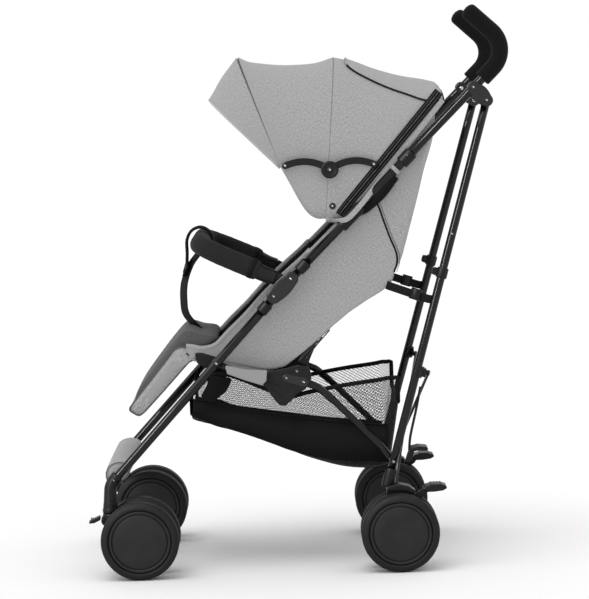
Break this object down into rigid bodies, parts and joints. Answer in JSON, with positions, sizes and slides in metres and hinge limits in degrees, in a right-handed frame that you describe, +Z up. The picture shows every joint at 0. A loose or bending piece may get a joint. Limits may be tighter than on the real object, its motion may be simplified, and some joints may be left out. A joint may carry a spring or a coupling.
{
  "type": "folding buggy",
  "caption": "Umbrella-fold pushchair with curved foam handles, twin wheels, grey seat and canopy, bumper bar and mesh basket.",
  "frame": {"origin": "centre of the overall box, on the floor under the wheels", "axes": "+Z up, -Y the way the child faces and the buggy rolls forward, +X the buggy's left-hand side"},
  "size_m": [0.5, 0.8207, 1.0637],
  "materials": {
    "tube_black": "satin",
    "steel_black": "satin",
    "grip_foam": "matte",
    "plastic_black": "satin",
    "wheel_black": "matte",
    "fabric_grey": "matte",
    "foam_cover": "matte",
    "webbing_black": "matte",
    "mesh_grey": "matte"
  },
  "bodies": {
    "centre": {"canopy_rear": "fabric_grey", "foot_strap": "fabric_grey", "crotch_strap": "webbing_black"},
    "side_left": {"push_tube_left": "tube_black", "handle_grip_left": "grip_foam", "upper_plate_left": "plastic_black", "mid_plate_left": "plastic_black", "front_leg_left": "tube_black", "castor_housing_left": "plastic_black"},
    "side_right": {"push_tube_right": "tube_black", "handle_grip_right": "grip_foam", "upper_plate_right": "plastic_black", "mid_plate_right": "plastic_black", "front_leg_right": "tube_black", "castor_housing_right": "plastic_black"},
    "castor_left": {"castor_left": "plastic_black"},
    "castor_right": {"castor_right": "plastic_black"},
    "swivel_lever_left": {"swivel_lever_left": "plastic_black"},
    "swivel_lever_right": {"swivel_lever_right": "plastic_black"},
    "wheel_front_left_outer": {"wheel_front_left_outer": "wheel_black"},
    "wheel_front_left_inner": {"wheel_front_left_inner": "wheel_black"},
    "wheel_front_right_outer": {"wheel_front_right_outer": "wheel_black"},
    "wheel_front_right_inner": {"wheel_front_right_inner": "wheel_black"},
    "wheel_rear_left_outer": {"wheel_rear_left_outer": "wheel_black"},
    "wheel_rear_left_inner": {"wheel_rear_left_inner": "wheel_black"},
    "wheel_rear_right_outer": {"wheel_rear_right_outer": "wheel_black"},
    "wheel_rear_right_inner": {"wheel_rear_right_inner": "wheel_black"},
    "rear_leg_left": {"rear_leg_left": "tube_black", "rear_foot_left": "plastic_black"},
    "rear_leg_right": {"rear_leg_right": "tube_black", "rear_foot_right": "plastic_black"},
    "brake_pedal_left": {"brake_pedal_left": "plastic_black"},
    "brake_pedal_right": {"brake_pedal_right": "plastic_black"},
    "seat_rail_left": {"seat_rail_left": "tube_black", "side_joint_left": "plastic_black"},
    "seat_rail_right": {"seat_rail_right": "tube_black", "side_joint_right": "plastic_black"},
    "rear_link_left": {"rear_link_left": "tube_black"},
    "rear_link_right": {"rear_link_right": "tube_black"},
    "leg_slider_left": {"leg_slider_left": "plastic_black"},
    "leg_slider_right": {"leg_slider_right": "plastic_black"},
    "cross_bar_left": {"cross_bar_left": "steel_black"},
    "cross_bar_right": {"cross_bar_right": "steel_black"},
    "fold_pedal": {"fold_pedal": "plastic_black"},
    "seat": {"seat": "fabric_grey"},
    "backrest": {"backrest": "fabric_grey", "harness": "webbing_black"},
    "calf_rest": {"calf_rest": "fabric_grey"},
    "basket": {"basket": "mesh_grey"},
    "bumper_bar": {"bumper_bar": "foam_cover"},
    "canopy_front": {"canopy_front": "fabric_grey"},
    "canopy_visor": {"canopy_visor": "fabric_grey"},
    "canopy_stay_rear_left": {"canopy_stay_rear_left": "plastic_black"},
    "canopy_stay_rear_right": {"canopy_stay_rear_right": "plastic_black"},
    "canopy_stay_front_left": {"canopy_stay_front_left": "plastic_black"},
    "canopy_stay_front_right": {"canopy_stay_front_right": "plastic_black"}
  },
  "joints": [
    {"name": "fold", "type": "slide", "parent": "centre", "child": "side_left", "axis": [-1, 0, 0], "range_m": [0, 0.105], "deforming": ["seat", "backrest", "calf_rest", "foot_strap", "canopy_front", "canopy_rear", "canopy_visor", "bumper_bar", "crotch_strap", "harness", "basket"]},
    {"name": "fold_right", "type": "slide", "parent": "centre", "child": "side_right", "axis": [1, 0, 0], "range_m": [0, 0.106]},
    {"name": "rear_leg_left_turn", "type": "hinge", "parent": "side_left", "child": "rear_leg_left", "pos_m": [0.1612, 0.3663, 0.881], "axis": [-0.9989, 0, -0.0464], "range_deg": [0, 18.2]},
    {"name": "rear_leg_right_turn", "type": "hinge", "parent": "side_right", "child": "rear_leg_right", "pos_m": [-0.1612, 0.3663, 0.881], "axis": [-0.9989, 0, 0.0464], "range_deg": [0, 18.2]},
    {"name": "seat_rail_left_turn", "type": "hinge", "parent": "side_left", "child": "seat_rail_left", "pos_m": [0.1835, -0.1593, 0.4004], "axis": [0.9989, 0, 0.0464], "range_deg": [0, 61]},
    {"name": "seat_rail_right_turn", "type": "hinge", "parent": "side_right", "child": "seat_rail_right", "pos_m": [-0.1835, -0.1593, 0.4004], "axis": [0.9989, 0, -0.0464], "range_deg": [0, 61]},
    {"name": "rear_link_left_turn", "type": "hinge", "parent": "rear_leg_left", "child": "rear_link_left", "pos_m": [0.1926, 0.1706, 0.2041], "axis": [-0.9989, 0, -0.0464], "range_deg": [0, 25.5]},
    {"name": "rear_link_right_turn", "type": "hinge", "parent": "rear_leg_right", "child": "rear_link_right", "pos_m": [-0.1926, 0.1706, 0.2041], "axis": [-0.9989, 0, 0.0464], "range_deg": [0, 25.5]},
    {"name": "slider_left_climb", "type": "slide", "parent": "rear_leg_left", "child": "leg_slider_left", "axis": [-0.0446, 0.2776, 0.9597], "range_m": [0, 0.165]},
    {"name": "slider_right_climb", "type": "slide", "parent": "rear_leg_right", "child": "leg_slider_right", "axis": [0.0446, 0.2776, 0.9597], "range_m": [0, 0.165]},
    {"name": "cross_bar_left_turn", "type": "hinge", "parent": "rear_leg_left", "child": "cross_bar_left", "pos_m": [0.172, 0.1739, 0.1563], "axis": [0, 0.9606, -0.2779], "range_deg": [0, 39.5]},
    {"name": "cross_bar_right_turn", "type": "hinge", "parent": "rear_leg_right", "child": "cross_bar_right", "pos_m": [-0.172, 0.1806, 0.1543], "axis": [0, -0.9606, 0.2779], "range_deg": [0, 39.5]},
    {"name": "seat_fold", "type": "hinge", "parent": "centre", "child": "seat", "pos_m": [0, -0.1593, 0.4004], "axis": [1, 0, 0], "range_deg": [0, 36]},
    {"name": "basket_fold", "type": "hinge", "parent": "centre", "child": "basket", "pos_m": [0, -0.1503, 0.377], "axis": [1, 0, 0], "range_deg": [0, 26]},
    {"name": "calf_rest_tip", "type": "hinge", "parent": "seat", "child": "calf_rest", "pos_m": [0, -0.2173, 0.415], "axis": [1, 0, 0], "range_deg": [-30, 25]},
    {"name": "recline", "type": "hinge", "parent": "centre", "child": "backrest", "pos_m": [0, 0.0327, 0.435], "axis": [-1, 0, 0], "range_deg": [0, 25]},
    {"name": "bumper_swing", "type": "hinge", "parent": "centre", "child": "bumper_bar", "pos_m": [0.1756, -0.0459, 0.5769], "axis": [0, 0, 1], "range_deg": [-100, 0]},
    {"name": "canopy_fold", "type": "hinge", "parent": "centre", "child": "canopy_front", "pos_m": [0, 0.0627, 0.668], "axis": [-1, 0, 0], "range_deg": [0, 45]},
    {"name": "visor_fold", "type": "hinge", "parent": "canopy_front", "child": "canopy_visor", "pos_m": [0, -0.0253, 0.7711], "axis": [-1, 0, 0], "range_deg": [0, 35]},
    {"name": "stay_rear_left_turn", "type": "hinge", "parent": "side_left", "child": "canopy_stay_rear_left", "pos_m": [0.1642, 0.1507, 0.768], "axis": [-1, 0, 0], "range_deg": [0, 90]},
    {"name": "stay_rear_right_turn", "type": "hinge", "parent": "side_right", "child": "canopy_stay_rear_right", "pos_m": [-0.1642, 0.1507, 0.768], "axis": [-1, 0, 0], "range_deg": [0, 90]},
    {"name": "stay_front_left_turn", "type": "hinge", "parent": "canopy_stay_rear_left", "child": "canopy_stay_front_left", "pos_m": [0.1678, 0.0667, 0.76], "axis": [1, 0, 0], "range_deg": [0, 138]},
    {"name": "stay_front_right_turn", "type": "hinge", "parent": "canopy_stay_rear_right", "child": "canopy_stay_front_right", "pos_m": [-0.1678, 0.0667, 0.76], "axis": [1, 0, 0], "range_deg": [0, 138]},
    {"name": "fold_pedal_press", "type": "slide", "parent": "rear_leg_left", "child": "fold_pedal", "axis": [0, -0.2779, -0.9606], "range_m": [0, 0.01], "stiffness_N_per_m": 400, "springref_m": -0.004},
    {"name": "brake_left_press", "type": "hinge", "parent": "rear_leg_left", "child": "brake_pedal_left", "pos_m": [0.2065, 0.2127, 0.14], "axis": [-1, 0, 0], "range_deg": [0, 18]},
    {"name": "brake_right_press", "type": "hinge", "parent": "rear_leg_right", "child": "brake_pedal_right", "pos_m": [-0.2065, 0.2127, 0.14], "axis": [-1, 0, 0], "range_deg": [0, 18]},
    {"name": "castor_left_swivel", "type": "hinge", "parent": "side_left", "child": "castor_left", "pos_m": [0.1985, -0.3694, 0.1235], "axis": [0, 0, 1], "continuous": true},
    {"name": "castor_right_swivel", "type": "hinge", "parent": "side_right", "child": "castor_right", "pos_m": [-0.1985, -0.3694, 0.1235], "axis": [0, 0, 1], "continuous": true},
    {"name": "swivel_lock_left", "type": "hinge", "parent": "castor_left", "child": "swivel_lever_left", "pos_m": [0.1985, -0.3896, 0.115], "axis": [1, 0, 0], "range_deg": [0, 20]},
    {"name": "swivel_lock_right", "type": "hinge", "parent": "castor_right", "child": "swivel_lever_right", "pos_m": [-0.1985, -0.3896, 0.115], "axis": [1, 0, 0], "range_deg": [0, 20]},
    {"name": "roll_front_left_outer", "type": "hinge", "parent": "castor_left", "child": "wheel_front_left_outer", "pos_m": [0.232, -0.3134, 0.074], "axis": [1, 0, 0], "continuous": true},
    {"name": "roll_front_left_inner", "type": "hinge", "parent": "castor_left", "child": "wheel_front_left_inner", "pos_m": [0.165, -0.3134, 0.074], "axis": [1, 0, 0], "continuous": true},
    {"name": "roll_front_right_outer", "type": "hinge", "parent": "castor_right", "child": "wheel_front_right_outer", "pos_m": [-0.232, -0.3134, 0.074], "axis": [1, 0, 0], "continuous": true},
    {"name": "roll_front_right_inner", "type": "hinge", "parent": "castor_right", "child": "wheel_front_right_inner", "pos_m": [-0.165, -0.3134, 0.074], "axis": [1, 0, 0], "continuous": true},
    {"name": "roll_rear_left_outer", "type": "hinge", "parent": "rear_leg_left", "child": "wheel_rear_left_outer", "pos_m": [0.232, 0.1787, 0.074], "axis": [1, 0, 0], "continuous": true},
    {"name": "roll_rear_left_inner", "type": "hinge", "parent": "rear_leg_left", "child": "wheel_rear_left_inner", "pos_m": [0.181, 0.1787, 0.074], "axis": [1, 0, 0], "continuous": true},
    {"name": "roll_rear_right_outer", "type": "hinge", "parent": "rear_leg_right", "child": "wheel_rear_right_outer", "pos_m": [-0.232, 0.1787, 0.074], "axis": [1, 0, 0], "continuous": true},
    {"name": "roll_rear_right_inner", "type": "hinge", "parent": "rear_leg_right", "child": "wheel_rear_right_inner", "pos_m": [-0.181, 0.1787, 0.074], "axis": [1, 0, 0], "continuous": true}
  ],
  "couplings": [
    {"joint": "fold_right", "follows": "fold", "ratio": 1},
    {"joint": "rear_leg_left_turn", "follows": "fold", "rad_per_m": 2.992},
    {"joint": "rear_leg_right_turn", "follows": "fold", "rad_per_m": 2.992},
    {"joint": "seat_rail_left_turn", "follows": "fold", "rad_per_m": 10.105},
    {"joint": "seat_rail_right_turn", "follows": "fold", "rad_per_m": 10.105},
    {"joint": "rear_link_left_turn", "follows": "fold", "rad_per_m": 4.2004},
    {"joint": "rear_link_right_turn", "follows": "fold", "rad_per_m": 4.2004},
    {"joint": "slider_left_climb", "follows": "fold", "ratio": 1.5653},
    {"joint": "slider_right_climb", "follows": "fold", "ratio": 1.5653},
    {"joint": "cross_bar_left_turn", "follows": "fold", "rad_per_m": 6.5357},
    {"joint": "cross_bar_right_turn", "follows": "fold", "rad_per_m": 6.5357},
    {"joint": "seat_fold", "follows": "fold", "rad_per_m": 5.8178},
    {"joint": "basket_fold", "follows": "fold", "rad_per_m": 4.1556},
    {"joint": "stay_rear_left_turn", "follows": "canopy_fold", "ratio": 1.9938},
    {"joint": "stay_rear_right_turn", "follows": "canopy_fold", "ratio": 1.9938},
    {"joint": "stay_front_left_turn", "follows": "canopy_fold", "ratio": 3.0511},
    {"joint": "stay_front_right_turn", "follows": "canopy_fold", "ratio": 3.0511}
  ]
}
